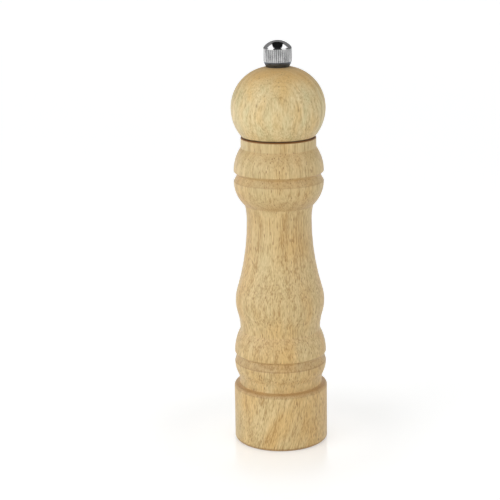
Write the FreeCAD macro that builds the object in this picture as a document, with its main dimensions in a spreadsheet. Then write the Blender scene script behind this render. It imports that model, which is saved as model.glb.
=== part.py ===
import FreeCAD, Part
import math
import os

import Sketcher
from FreeCAD import Vector

# A turned wooden pepper mill. The ball on top is turned by hand, a square spindle carries that turn down to
# a toothed cone in a fixed grinding ring, and a knurled nut on the spindle's thread sets how fine it grinds.
# Millimetres, +Z up, origin in the middle of the foot.
SIZES = {
    # outside of the body, from the foot up; the base keeps the full width of the blank, and a set-in says how far
    # each bead, the bulge and the head's ball, turned from the same blank, stay inside it
    "base_diameter": 50.0,
    "base_height": 29.4,
    "foot_round": 0.8,
    "shoulder_width": 1.2,
    "shoulder_rise": 1.8,
    "ledge_width": 1.7,
    "ledge_rise": 0.5,
    "lower_neck_rise": 4.8,
    "lower_neck_flare": 0.5,
    "lower_bead_rise": 7.2,
    "lower_bead_set_in": 0.5,
    "lower_groove_fall": 4.1,
    "lower_groove_rise": 1.3,
    "lower_groove_depth": 1.2,
    "lower_collar_rise": 12.5,
    "vase_foot_depth": 2.35,
    "bulge_rise": 15.7,
    "bulge_set_in": 1.35,
    "bulge_round": 22.2,
    "flare_rise": 43.9,
    "waist_diameter": 34.2,
    "waist_top_rise": 8.1,
    "cup_foot_step": 0.9,
    "cup_rise": 12.8,
    "upper_bead_set_in": 1.4,
    "upper_groove_fall": 3.6,
    "upper_groove_rise": 1.7,
    "upper_groove_depth": 1.9,
    "upper_collar_rise": 12.5,
    "neck_diameter": 39.4,
    "neck_height": 5.4,
    "neck_round": 0.6,
    # inside of the body
    "recess_depth": 10.0,
    "recess_clearance": 0.4,
    "chamber_diameter": 24.0,
    "socket_ledge": 1.0,
    # head
    "seam_gap": 0.3,
    "head_foot_diameter": 38.2,
    "head_set_in": 0.4,
    "head_lower_rise": 14.8,
    "head_upper_rise": 21.1,
    "head_bore_clearance": 0.6,
    "tenon_clearance": 0.3,
    "tenon_length": 15.0,
    # adjusting nut
    "nut_diameter": 14.6,
    "nut_chamfer_width": 1.35,
    "nut_chamfer_rise": 3.1,
    "nut_band_rise": 7.0,
    "nut_dome_rise": 3.6,
    "nut_seat_margin": 0.55,
    "nut_bore_spare": 1.5,
    "knurl_depth": 0.4,
    "knurl_count": 40,
    # spindle, and the pin that stops it from dropping through the bridge
    "spindle_width": 6.0,
    "spindle_corner": 0.6,
    "thread_diameter": 5.0,
    "thread_below_seat": 6.0,
    "thread_above_seat": 7.5,
    "thread_clearance": 0.05,
    "sliding_clearance": 0.1,
    "running_clearance": 0.25,
    "stop_pin_diameter": 1.5,
    "stop_pin_reach": 2.0,
    "stop_pin_drop": 1.5,
    # drive plate, and the wood screws that hold it and the stator
    "plate_margin": 1.7,
    "plate_thickness": 1.5,
    "plate_screw_count": 2,
    "screw_diameter": 2.2,
    "screw_length": 9.0,
    "screw_head_diameter": 3.4,
    "screw_head_rise": 1.3,
    "slot_width": 0.7,
    "slot_depth": 0.6,
    "hole_spare": 0.5,
    # spring and thrust washer
    "wire_diameter": 1.1,
    "spring_pitch": 1.9,
    "spring_clearance": 0.65,
    "thrust_washer_margin": 0.9,
    "thrust_washer_thickness": 1.0,
    "face_clearance": 0.05,
    # stator
    "throat_clearance": 2.0,
    "throat_wall": 5.5,
    "mouth_wall": 2.4,
    "stator_rise": 18.0,
    "flange_width": 4.4,
    "flange_thickness": 2.0,
    "seat_clearance": 0.1,
    "stator_screw_count": 3,
    "stator_tooth_count": 20,
    "tooth_depth": 0.9,
    "tooth_share": 0.8,
    "tooth_twist": 18.0,
    # bridge and its rivets
    "bridge_thickness": 1.2,
    "bridge_width": 11.0,
    "rivet_count": 2,
    "rivet_diameter": 2.0,
    "rivet_head_diameter": 3.4,
    "rivet_head_rise": 0.9,
    "rivet_length": 6.0,
    # rotor, with its washer and screw
    "grinding_gap": 0.45,
    "rotor_rise": 10.0,
    "rotor_rim_rise": 1.5,
    "rotor_floor": 2.0,
    "rotor_tooth_count": 16,
    "rotor_washer_margin": 1.7,
    "rotor_washer_thickness": 1.0,
    "rotor_screw_diameter": 4.0,
    "rotor_screw_length": 12.0,
    "rotor_screw_head_diameter": 7.6,
    "rotor_screw_head_rise": 2.2,
    "rotor_slot_width": 1.1,
    "rotor_slot_depth": 1.1,
}

WHOLE_TURN = math.degrees(math.tau)

# How a sketch numbers the points of an edge.
START_POINT, END_POINT, CENTRE_POINT = range(1, 4)

doc = FreeCAD.newDocument("pepper_mill")
sheet = doc.addObject("Spreadsheet::Sheet", "sizes")
for row, (alias, number) in enumerate(SIZES.items(), start=1):
    sheet.set(f"A{row}", alias)
    sheet.set(f"B{row}", str(number))
    sheet.setAlias(f"B{row}", alias)
doc.recompute()


def value(expression):
    """The number that an expression of the sheet's sizes gives."""
    return float(sheet.evalExpression(expression))


def half(alias):
    return f"sizes.{alias} / 2"


def stacked(start, *aliases):
    """The heights of successive edges, each one size above the last, as expressions."""
    levels = [start]
    for alias in aliases:
        levels.append(f"{levels[-1]} + sizes.{alias}")
    return levels


# Heights on the body, from the foot to the rim that the head turns on.
(FOOT, SHOULDER, LEDGE, LOWER_NECK, LOWER_BEAD, LOWER_LIP, LOWER_GROOVE, LOWER_COLLAR, VASE_FOOT, BULGE, WAIST,
 CUP_FOOT, UPPER_LIP, UPPER_GROOVE, UPPER_COLLAR, NECK, BODY_TOP) = stacked(
    "0", "base_height", "shoulder_rise", "ledge_rise", "lower_neck_rise", "lower_bead_rise", "lower_groove_fall",
    "lower_groove_rise", "lower_collar_rise", "bulge_rise", "flare_rise", "waist_top_rise", "cup_rise",
    "upper_groove_fall", "upper_groove_rise", "upper_collar_rise", "neck_height")

# Radii from the spindle outwards: what turns on it, the stator round that, and the recess for its flange.
FLAT = half("spindle_width")
CORNER = f"sqrt(({FLAT}) ^ 2 + ({FLAT} - sizes.spindle_corner) ^ 2)"
SQUARE_HOLE = f"{FLAT} + sizes.sliding_clearance"
SPRING = f"{CORNER} + sizes.spring_clearance + sizes.wire_diameter / 2"
SPRING_SEAT = f"{SPRING} + sizes.wire_diameter / 2 + sizes.thrust_washer_margin"
THROAT = f"{SPRING_SEAT} + sizes.throat_clearance"
STATOR = f"{THROAT} + sizes.throat_wall"
MOUTH = f"{STATOR} - sizes.mouth_wall"
ROTOR = f"{MOUTH} - sizes.grinding_gap"
FLANGE = f"{STATOR} + sizes.flange_width"
RECESS = f"{FLANGE} + sizes.recess_clearance"
RIVET_CIRCLE = f"{STATOR} - (sizes.throat_wall - sizes.tooth_depth) / 2"
STATOR_SCREW_CIRCLE = f"{STATOR} + sizes.flange_width / 2"

# Radius of the blank that the body and the head are turned from.
BLANK = half("base_diameter")

# Radii of the chamber, and of the tenon and drive plate that fit in its top.
CHAMBER = half("chamber_diameter")
SOCKET = f"{CHAMBER} + sizes.socket_ledge"
TENON = f"{SOCKET} - sizes.tenon_clearance"
PLATE = f"{TENON} - sizes.plate_margin"
HEAD_BORE = f"{CORNER} + sizes.head_bore_clearance"
PLATE_SCREW_CIRCLE = f"({HEAD_BORE} + {PLATE}) / 2"
NUT_FOOT = f"{half('nut_diameter')} - sizes.nut_chamfer_width"

# Radii of holes that hold a screw, a rivet or a thread.
SCREW_HOLE = f"{half('screw_diameter')} + sizes.thread_clearance"
RIVET_HOLE = f"{half('rivet_diameter')} + sizes.thread_clearance"
ROTOR_SCREW_HOLE = f"{half('rotor_screw_diameter')} + sizes.thread_clearance"
STOP_PIN_HOLE = f"{half('stop_pin_diameter')} + sizes.thread_clearance"

# Heights of the mechanism in the foot.
MOUTH_FACE = "sizes.recess_depth - sizes.flange_thickness"
SPINDLE_FOOT = f"{MOUTH_FACE} + sizes.rotor_floor"
ROTOR_TOP = f"{MOUTH_FACE} + sizes.rotor_rise"
BRIDGE_FACE = "sizes.recess_depth + sizes.stator_rise"
THRUST_FACE = f"{BRIDGE_FACE} - sizes.face_clearance - sizes.thrust_washer_thickness"
BRIDGE_TOP = f"{BRIDGE_FACE} + sizes.bridge_thickness"
SEAT_TOP = f"{BRIDGE_TOP} + sizes.rivet_head_rise + sizes.hole_spare"
STOP_PIN = f"{BRIDGE_TOP} + sizes.stop_pin_drop + {half('stop_pin_diameter')}"

# Heights of the head and of what hangs under it.
HEAD_FOOT = f"{BODY_TOP} + sizes.seam_gap"
NUT_SEAT = f"{HEAD_FOOT} + sizes.head_lower_rise + sizes.head_upper_rise"
PLATE_FACE = f"{HEAD_FOOT} - sizes.tenon_length - sizes.plate_thickness"
SOCKET_FLOOR = f"{PLATE_FACE} - sizes.screw_head_rise - sizes.hole_spare"


def new_body(label, height="0"):
    """An empty sub-part that stands at a height on the mill's axis."""
    body = doc.addObject("PartDesign::Body", label)
    body.setExpression("Placement.Base.z", height)
    return body


def origin_feature(body, role):
    return next(item for item in body.Origin.OriginFeatures if item.Role == role)


def new_sketch(body, label, role="XY_Plane", height="0"):
    """A sketch on one of the body's own planes, raised by a height above it."""
    sketch = body.newObject("Sketcher::SketchObject", f"{body.Name}_{label}")
    sketch.AttachmentSupport = (origin_feature(body, role), [""])
    sketch.MapMode = "FlatFace"
    sketch.setExpression("AttachmentOffset.Base.z", height)
    return sketch


def pin(sketch, geometry, point, across, up):
    """Ties a point of the sketch to its place by two dimensions from the sketch's origin."""
    origin = (-1, START_POINT)
    for kind, expression in (("DistanceX", across), ("DistanceY", up)):
        distance = Sketcher.Constraint(kind, *origin, geometry, point, value(expression))
        number = sketch.addConstraint(distance)
        sketch.setExpression(f"Constraints[{number}]", expression)


def edge_between(start, end, bend):
    """A straight edge, or an arc that is upright at its start or end or level at its end, with the numbers of
    the points that it starts and ends on."""
    if bend is None:
        return Part.LineSegment(start, end), START_POINT, END_POINT
    flat, other = (start, end) if bend == "upright_start" else (end, start)
    across, up = other.x - flat.x, other.y - flat.y
    chord = across * across + up * up
    if bend == "level_end":
        centre = Vector(flat.x, flat.y + chord / (2 * up), 0)
    else:
        centre = Vector(flat.x + chord / (2 * across), flat.y, 0)
    from_angle, to_angle = (math.atan2(p.y - centre.y, p.x - centre.x) for p in (start, end))
    turn = (to_angle - from_angle) % (2 * math.pi)
    whole = Part.Circle(centre, Vector(0, 0, 1), centre.distanceToPoint(start))
    if turn < math.pi:
        return Part.ArcOfCircle(whole, from_angle, from_angle + turn), START_POINT, END_POINT
    return Part.ArcOfCircle(whole, to_angle, to_angle + 2 * math.pi - turn), END_POINT, START_POINT


def outline(sketch, corners):
    """A closed outline through corners (across, up) or (across, up, bend), where bend shapes the edge to the
    next corner."""
    corners = [corner if len(corner) == 3 else (*corner, None) for corner in corners]
    points = [Vector(value(across), value(up), 0) for across, up, _ in corners]
    edges = []
    for index, (start, corner) in enumerate(zip(points, corners)):
        curve, first, last = edge_between(start, points[(index + 1) % len(points)], corner[2])
        edges.append((sketch.addGeometry(curve), first, last))
    for index, (across, up, bend) in enumerate(corners):
        geometry, first, last = edges[index]
        following, following_first, _ = edges[(index + 1) % len(edges)]
        pin(sketch, geometry, first, across, up)
        sketch.addConstraint(Sketcher.Constraint("Coincident", geometry, last, following, following_first))
        if bend is not None:
            flat = first if bend == "upright_start" else last
            kind = "Vertical" if bend == "level_end" else "Horizontal"
            sketch.addConstraint(Sketcher.Constraint(kind, geometry, CENTRE_POINT, geometry, flat))


def circle(sketch, radius, across="0", up="0"):
    centre = Vector(value(across), value(up), 0)
    geometry = sketch.addGeometry(Part.Circle(centre, Vector(0, 0, 1), value(radius)))
    pin(sketch, geometry, CENTRE_POINT, across, up)
    number = sketch.addConstraint(Sketcher.Constraint("Radius", geometry, value(radius)))
    sketch.setExpression(f"Constraints[{number}]", radius)


def rectangle(sketch, half_width, half_depth, across="0"):
    left, right = f"{across} - ({half_width})", f"{across} + {half_width}"
    front, back = f"-({half_depth})", half_depth
    outline(sketch, [(left, front), (right, front), (right, back), (left, back)])


def turned(body, corners, axis=None):
    """A solid turned from an outline of (radius, height) corners, about the body's axis or one beside it."""
    sketch = new_sketch(body, "outline", "XZ_Plane")
    outline(sketch, corners)
    feature = body.newObject("PartDesign::Revolution", f"{body.Name}_turned")
    feature.Profile = sketch
    feature.ReferenceAxis = (sketch, ["V_Axis"])
    if axis is not None:
        foot = Vector(value(axis), 0, 0)
        centre_line = sketch.addGeometry(Part.LineSegment(foot, foot + Vector(0, 1, 0)), True)
        pin(sketch, centre_line, START_POINT, axis, "0")
        sketch.addConstraint(Sketcher.Constraint("Vertical", centre_line))
        feature.ReferenceAxis = (sketch, ["Axis0"])
    feature.Angle = WHOLE_TURN
    return feature


def pad(body, label, sketch, length):
    feature = body.newObject("PartDesign::Pad", f"{body.Name}_{label}")
    feature.Profile = sketch
    feature.setExpression("Length", length)
    return feature


def require_cut(body, feature, volume_before):
    doc.recompute()
    if body.Shape.Volume >= volume_before:
        raise RuntimeError(f"{feature.Name} cuts nothing")


def pocket(body, label, sketch, depth):
    """A cut from the sketch's plane, along that plane's normal."""
    doc.recompute()
    before = body.Shape.Volume
    feature = body.newObject("PartDesign::Pocket", f"{body.Name}_{label}")
    feature.Profile = sketch
    feature.Reversed = True
    feature.setExpression("Length", depth)
    require_cut(body, feature, before)
    return feature


def around(body, features, count):
    """Repeats features evenly round the body's axis."""
    pattern = body.newObject("PartDesign::PolarPattern", f"{features[-1].Name}_around")
    pattern.Originals = features
    pattern.Axis = (origin_feature(body, "Z_Axis"), [""])
    pattern.Angle = WHOLE_TURN
    pattern.setExpression("Occurrences", f"sizes.{count}")
    body.Tip = pattern


def round_hole(body, label, radius, height, depth, across="0"):
    """A hole upwards from a height, on the body's axis or beside it."""
    sketch = new_sketch(body, f"{label}_circle", height=height)
    circle(sketch, radius, across)
    return pocket(body, label, sketch, depth)


def inflection(outer, inner, rise, level, side):
    """Where the bulge's round meets the hollow curve that runs on to a smaller radius, so that the two arcs
    share a tangent there: side is 1 above the bulge and -1 below it."""
    lean = f"({outer} - ({inner})) / ({rise})"
    reach = f"2 * sizes.bulge_round / (1 + ({lean}) ^ 2)"
    return f"{outer} - {reach} * ({lean}) ^ 2", f"{level} + {side} * {reach} * ({lean})"


def make_body():
    body = new_body("body")
    waist, neck = half("waist_diameter"), half("neck_diameter")
    lower_bead = f"{BLANK} - sizes.lower_bead_set_in"
    bulge = f"{BLANK} - sizes.bulge_set_in"
    upper_bead = f"{BLANK} - sizes.upper_bead_set_in"
    ledge = f"{BLANK} - sizes.shoulder_width"
    lower_neck = f"min({ledge}; {lower_bead}) - sizes.ledge_width"
    vase_foot = f"{bulge} - sizes.vase_foot_depth"
    seat = f"{STATOR} + sizes.seat_clearance"
    turned(body, [
        (RECESS, FOOT),
        (f"{BLANK} - sizes.foot_round", FOOT, "upright_end"),
        (BLANK, "sizes.foot_round"),
        (BLANK, SHOULDER, "upright_start"),
        (ledge, LEDGE),
        (lower_neck, LOWER_NECK, "upright_start"),
        (f"{lower_neck} + sizes.lower_neck_flare", LOWER_BEAD, "upright_end"),
        (lower_bead, LOWER_LIP),
        (f"{lower_bead} - sizes.lower_groove_depth", LOWER_GROOVE),
        (lower_bead, LOWER_COLLAR, "upright_start"),
        (vase_foot, VASE_FOOT, "upright_start"),
        (*inflection(bulge, vase_foot, "sizes.bulge_rise", BULGE, -1), "upright_end"),
        (bulge, BULGE, "upright_start"),
        (*inflection(bulge, waist, "sizes.flare_rise", BULGE, 1), "upright_end"),
        (waist, WAIST, "upright_start"),
        (f"{waist} + sizes.cup_foot_step", CUP_FOOT, "upright_end"),
        (upper_bead, UPPER_LIP),
        (f"{upper_bead} - sizes.upper_groove_depth", UPPER_GROOVE),
        (upper_bead, UPPER_COLLAR, "upright_start"),
        (neck, NECK),
        (neck, f"{BODY_TOP} - sizes.neck_round", "upright_start"),
        (f"{neck} - sizes.neck_round", BODY_TOP),
        (SOCKET, BODY_TOP),
        (SOCKET, SOCKET_FLOOR),
        (CHAMBER, SOCKET_FLOOR),
        (CHAMBER, SEAT_TOP),
        (seat, SEAT_TOP),
        (seat, "sizes.recess_depth"),
        (RECESS, "sizes.recess_depth"),
    ])
    depth = "sizes.screw_length - sizes.flange_thickness + sizes.hole_spare"
    hole = round_hole(body, "screw_hole", SCREW_HOLE, "sizes.recess_depth", depth, STATOR_SCREW_CIRCLE)
    around(body, [hole], "stator_screw_count")
    return body


def make_head():
    body = new_body("head", HEAD_FOOT)
    top = "sizes.head_lower_rise + sizes.head_upper_rise"
    turned(body, [
        (HEAD_BORE, "-sizes.tenon_length"),
        (TENON, "-sizes.tenon_length"),
        (TENON, "0"),
        (half("head_foot_diameter"), "0", "upright_end"),
        (f"{BLANK} - sizes.head_set_in", "sizes.head_lower_rise", "upright_start"),
        (f"{NUT_FOOT} + sizes.nut_seat_margin", top),
        (HEAD_BORE, top),
    ])
    depth = "sizes.screw_length - sizes.plate_thickness + sizes.hole_spare"
    hole = round_hole(body, "screw_hole", SCREW_HOLE, "-sizes.tenon_length", depth, PLATE_SCREW_CIRCLE)
    around(body, [hole], "plate_screw_count")
    return body


def make_adjusting_nut():
    body = new_body("adjusting_nut", NUT_SEAT)
    foot, band, dome, top = stacked("0", "nut_chamfer_rise", "nut_band_rise", "nut_dome_rise")
    rim = half("nut_diameter")
    thread = f"{half('thread_diameter')} + sizes.thread_clearance"
    thread_end = "sizes.thread_above_seat + sizes.nut_bore_spare"
    turned(body, [
        (thread, foot),
        (NUT_FOOT, foot),
        (rim, band),
        (rim, dome, "level_end"),
        ("0", top),
        ("0", thread_end),
        (thread, thread_end),
    ])
    groove = new_sketch(body, "knurl")
    outside = f"{rim} + sizes.knurl_depth"
    flank = f"({outside}) * tan(180 / sizes.knurl_count)"
    outline(groove, [(f"{rim} - sizes.knurl_depth", "0"), (outside, f"-({flank})"), (outside, flank)])
    around(body, [pocket(body, "knurl_groove", groove, top)], "knurl_count")
    return body


def make_spindle():
    body = new_body("spindle", SPINDLE_FOOT)
    length = f"({NUT_SEAT}) - sizes.thread_below_seat - ({SPINDLE_FOOT})"
    cut_flat = f"{FLAT} - sizes.spindle_corner"
    bar = new_sketch(body, "bar")
    outline(bar, [
        (FLAT, f"-({cut_flat})"),
        (FLAT, cut_flat),
        (cut_flat, FLAT),
        (f"-({cut_flat})", FLAT),
        (f"-({FLAT})", cut_flat),
        (f"-({FLAT})", f"-({cut_flat})"),
        (f"-({cut_flat})", f"-({FLAT})"),
        (cut_flat, f"-({FLAT})"),
    ])
    pad(body, "square_bar", bar, length)
    thread = new_sketch(body, "thread", height=length)
    circle(thread, half("thread_diameter"))
    pad(body, "threaded_end", thread, "sizes.thread_below_seat + sizes.thread_above_seat")
    depth = "sizes.rotor_screw_length - sizes.rotor_washer_thickness - sizes.rotor_floor + sizes.hole_spare"
    round_hole(body, "screw_hole", ROTOR_SCREW_HOLE, "0", depth)
    cross_hole = new_sketch(body, "pin_hole", "YZ_Plane", f"-({FLAT})")
    circle(cross_hole, STOP_PIN_HOLE, up=f"{STOP_PIN} - ({SPINDLE_FOOT})")
    pocket(body, "pin_hole_cut", cross_hole, "sizes.spindle_width")
    return body


def make_stop_pin():
    pin_length = "sizes.spindle_width + 2 * sizes.stop_pin_reach"
    cross_pin = doc.addObject("Part::Cylinder", "stop_pin")
    cross_pin.setExpression("Radius", half("stop_pin_diameter"))
    cross_pin.setExpression("Height", pin_length)
    cross_pin.Placement.Rotation = FreeCAD.Rotation(Vector(0, 1, 0), 90)
    cross_pin.setExpression("Placement.Base.x", f"-({pin_length}) / 2")
    cross_pin.setExpression("Placement.Base.z", STOP_PIN)
    return cross_pin


def make_square_washer(label, height, radius, thickness):
    """A disc that slides on the spindle by its square hole."""
    body = new_body(label, height)
    disc = new_sketch(body, "disc")
    circle(disc, radius)
    rectangle(disc, SQUARE_HOLE, SQUARE_HOLE)
    pad(body, "plate", disc, thickness)
    return body


def make_drive_plate():
    body = make_square_washer("drive_plate", PLATE_FACE, PLATE, "sizes.plate_thickness")
    hole = round_hole(body, "screw_hole", SCREW_HOLE, "0", "sizes.plate_thickness", PLATE_SCREW_CIRCLE)
    around(body, [hole], "plate_screw_count")
    return body


def make_screws(label, height, circle_radius, count):
    """Slotted wood screws whose heads hang under a face, evenly spaced on a circle."""
    body = new_body(label, height)
    shank = f"{circle_radius} + {half('screw_diameter')}"
    head = f"{circle_radius} + {half('screw_head_diameter')}"
    crown = half("screw_head_rise")
    screw = turned(body, [
        (circle_radius, "-sizes.screw_head_rise"),
        (f"{head} - {crown}", "-sizes.screw_head_rise", "upright_end"),
        (head, f"-{crown}"),
        (head, "0"),
        (shank, "0"),
        (shank, f"sizes.screw_length - {half('screw_diameter')}"),
        (circle_radius, "sizes.screw_length"),
    ], axis=circle_radius)
    slot = new_sketch(body, "slot", height="-sizes.screw_head_rise")
    rectangle(slot, half("slot_width"), half("screw_head_diameter"), circle_radius)
    around(body, [screw, pocket(body, "slot_cut", slot, "sizes.slot_depth")], count)
    return body


def tooth_gaps(body, low, high, low_radius, high_radius, inward, count):
    """Slanted grooves between the teeth of a cone, from one height to another: inward is 1 where they are
    cut towards the axis and -1 where they are cut away from it."""
    sections = []
    for label, height, radius, twist in (("low", low, low_radius, "0"), ("high", high, high_radius, "1")):
        sketch = new_sketch(body, f"tooth_gap_{label}", height=height)
        sketch.setExpression("AttachmentOffset.Rotation.Angle", f"{twist} * sizes.tooth_twist")
        root = f"{radius} - {inward} * sizes.tooth_depth"
        brim = f"{radius} + {inward} * sizes.tooth_depth"
        flank = f"2 * sizes.tooth_share * ({radius}) * tan(180 / sizes.{count})"
        outline(sketch, [(root, "0"), (brim, flank), (brim, f"-({flank})")])
        sections.append(sketch)
    doc.recompute()
    before = body.Shape.Volume
    gap = body.newObject("PartDesign::SubtractiveLoft", f"{body.Name}_tooth_gap")
    gap.Profile = sections[0]
    gap.Sections = sections[1:]
    gap.Ruled = True
    require_cut(body, gap, before)
    around(body, [gap], count)


def make_stator():
    body = new_body("stator", MOUTH_FACE)
    top = "sizes.flange_thickness + sizes.stator_rise"
    turned(body, [
        (MOUTH, "0"),
        (FLANGE, "0"),
        (FLANGE, "sizes.flange_thickness"),
        (STATOR, "sizes.flange_thickness"),
        (STATOR, top),
        (THROAT, top),
    ])
    hole = round_hole(body, "screw_hole", SCREW_HOLE, "0", "sizes.flange_thickness", STATOR_SCREW_CIRCLE)
    around(body, [hole], "stator_screw_count")
    depth = "sizes.rivet_length - sizes.bridge_thickness"
    hole = round_hole(body, "rivet_hole", RIVET_HOLE, f"{top} - ({depth})", depth, RIVET_CIRCLE)
    around(body, [hole], "rivet_count")
    tooth_gaps(body, "0", top, MOUTH, THROAT, -1, "stator_tooth_count")
    return body


def make_bridge():
    body = new_body("bridge", BRIDGE_FACE)
    strap = new_sketch(body, "strap")
    rectangle(strap, STATOR, half("bridge_width"))
    pad(body, "bar", strap, "sizes.bridge_thickness")
    ends = new_sketch(body, "round_ends")
    circle(ends, STATOR)
    circle(ends, f"{STATOR} + sizes.bridge_width")
    pocket(body, "end_trim", ends, "sizes.bridge_thickness")
    bore = f"{CORNER} + sizes.running_clearance"
    round_hole(body, "spindle_hole", bore, "0", "sizes.bridge_thickness")
    hole = round_hole(body, "rivet_hole", RIVET_HOLE, "0", "sizes.bridge_thickness", RIVET_CIRCLE)
    around(body, [hole], "rivet_count")
    return body


def make_bridge_rivets():
    body = new_body("bridge_rivets", BRIDGE_TOP)
    shank = f"{RIVET_CIRCLE} + {half('rivet_diameter')}"
    rivet = turned(body, [
        (RIVET_CIRCLE, "-sizes.rivet_length"),
        (shank, "-sizes.rivet_length"),
        (shank, "0"),
        (f"{RIVET_CIRCLE} + {half('rivet_head_diameter')}", "0", "level_end"),
        (RIVET_CIRCLE, "sizes.rivet_head_rise"),
    ], axis=RIVET_CIRCLE)
    around(body, [rivet], "rivet_count")
    return body


def biarc(start, start_way, end, end_way):
    """Two arcs that leave one point along a direction and reach another along its own, as one smooth bend."""
    gap = end - start
    spread = 2 * (1 - start_way.dot(end_way))
    along = gap.dot(start_way + end_way)
    reach = (math.sqrt(along * along + spread * gap.dot(gap)) - along) / spread
    first, last = start + start_way * reach, end - end_way * reach
    joint = (first + last) * 0.5
    arcs = []
    for near, corner, far in ((start, first, joint), (joint, last, end)):
        middle = (near + far) * 0.5
        weight = middle.distanceToPoint(near) / corner.distanceToPoint(near)
        crown = (middle + corner * weight) * (1 / (1 + weight))
        arcs.append(Part.Arc(near, crown, far).toShape())
    return arcs


def make_spring():
    """A coil of whole quarter turns that fills the height between the rotor and the thrust washer."""
    spring = doc.addObject("Part::Feature", "spring")
    radius, wire = value(SPRING), value("sizes.wire_diameter")
    climb = value(f"({THRUST_FACE}) - ({ROTOR_TOP}) - 2 * sizes.face_clearance") - wire
    quarters = math.floor(4 * climb / value("sizes.spring_pitch"))
    quarter_climb = climb / quarters

    def point(quarter):
        angle = math.pi / 2 * quarter
        return Vector(radius * math.cos(angle), radius * math.sin(angle), wire / 2 + quarter_climb * quarter)

    def direction(quarter):
        angle = math.pi / 2 * quarter
        run = math.pi / 2 * radius
        return Vector(-run * math.sin(angle), run * math.cos(angle), quarter_climb).normalize()

    edges = []
    for quarter in range(quarters):
        ends = (quarter, quarter + 1)
        edges.extend(biarc(*(make(end) for end in ends for make in (point, direction))))
    section = Part.Wire(Part.Circle(point(0), direction(0), wire / 2).toShape())
    spring.Shape = Part.Wire(edges).makePipeShell([section], True, False)
    spring.Placement.Base.z = value(f"{ROTOR_TOP} + sizes.face_clearance")

    samples_per_quarter = 12
    samples = [point(step / samples_per_quarter) for step in range(quarters * samples_per_quarter + 1)]
    half_turn = 2 * samples_per_quarter
    pairs = ((one, other) for index, one in enumerate(samples) for other in samples[index + half_turn:])
    nearest = min(one.distanceToPoint(other) for one, other in pairs)
    print(f"spring: {quarters / 4} turns, least gap between them {nearest - wire:.2f} mm")
    return spring


def make_rotor():
    body = new_body("rotor", MOUTH_FACE)
    slope = f"({MOUTH} - ({THROAT})) / (sizes.flange_thickness + sizes.stator_rise)"
    turned(body, [
        ("0", "0"),
        (ROTOR, "0"),
        (f"{ROTOR} - sizes.rotor_rim_rise * {slope}", "sizes.rotor_rim_rise"),
        (SPRING_SEAT, "sizes.rotor_rise"),
        ("0", "sizes.rotor_rise"),
    ])
    tooth_gaps(body, "0", "sizes.rotor_rise", ROTOR, SPRING_SEAT, 1, "rotor_tooth_count")
    socket = new_sketch(body, "socket", height="sizes.rotor_floor")
    rectangle(socket, f"{FLAT} + sizes.thread_clearance", f"{FLAT} + sizes.thread_clearance")
    pocket(body, "spindle_socket", socket, "sizes.rotor_rise - sizes.rotor_floor")
    round_hole(body, "screw_hole", ROTOR_SCREW_HOLE, "0", "sizes.rotor_floor")
    return body


def make_rotor_washer():
    body = new_body("rotor_washer", f"{MOUTH_FACE} - sizes.rotor_washer_thickness")
    disc = new_sketch(body, "disc")
    circle(disc, f"{half('rotor_screw_head_diameter')} + sizes.rotor_washer_margin")
    circle(disc, ROTOR_SCREW_HOLE)
    pad(body, "ring", disc, "sizes.rotor_washer_thickness")
    return body


def make_rotor_screw():
    body = new_body("rotor_screw", f"{MOUTH_FACE} - sizes.rotor_washer_thickness")
    shank, head = half("rotor_screw_diameter"), half("rotor_screw_head_diameter")
    crown = half("rotor_screw_head_rise")
    turned(body, [
        ("0", "-sizes.rotor_screw_head_rise"),
        (f"{head} - {crown}", "-sizes.rotor_screw_head_rise", "upright_end"),
        (head, f"-{crown}"),
        (head, "0"),
        (shank, "0"),
        (shank, "sizes.rotor_screw_length"),
        ("0", "sizes.rotor_screw_length"),
    ])
    slot = new_sketch(body, "slot", height="-sizes.rotor_screw_head_rise")
    rectangle(slot, half("rotor_slot_width"), head)
    pocket(body, "slot_cut", slot, "sizes.rotor_slot_depth")
    return body


pieces = [
    make_body(),
    make_head(),
    make_adjusting_nut(),
    make_spindle(),
    make_stop_pin(),
    make_drive_plate(),
    make_screws("drive_plate_screws", PLATE_FACE, PLATE_SCREW_CIRCLE, "plate_screw_count"),
    make_stator(),
    make_screws("stator_screws", MOUTH_FACE, STATOR_SCREW_CIRCLE, "stator_screw_count"),
    make_bridge(),
    make_bridge_rivets(),
    make_square_washer("thrust_washer", THRUST_FACE, SPRING_SEAT, "sizes.thrust_washer_thickness"),
    make_spring(),
    make_rotor(),
    make_rotor_washer(),
    make_rotor_screw(),
]
doc.recompute()

for item in doc.Objects:
    if {"Invalid", "Error"} & set(item.State):
        raise RuntimeError(f"{item.Name} failed: {item.State}")
for piece in pieces:
    if piece.Shape.isNull() or not piece.Shape.isValid():
        raise RuntimeError(f"{piece.Label} has no valid solid")

os.makedirs("parts", exist_ok=True)
for piece in pieces:
    piece.Shape.exportStep(f"parts/{piece.Label}.step")
    print(f"{piece.Label}: {len(piece.Shape.Solids)} solid(s), {piece.Shape.Volume:.1f} mm3")
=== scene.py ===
import math

import bmesh
import bpy
from mathutils import Matrix, Vector


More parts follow.
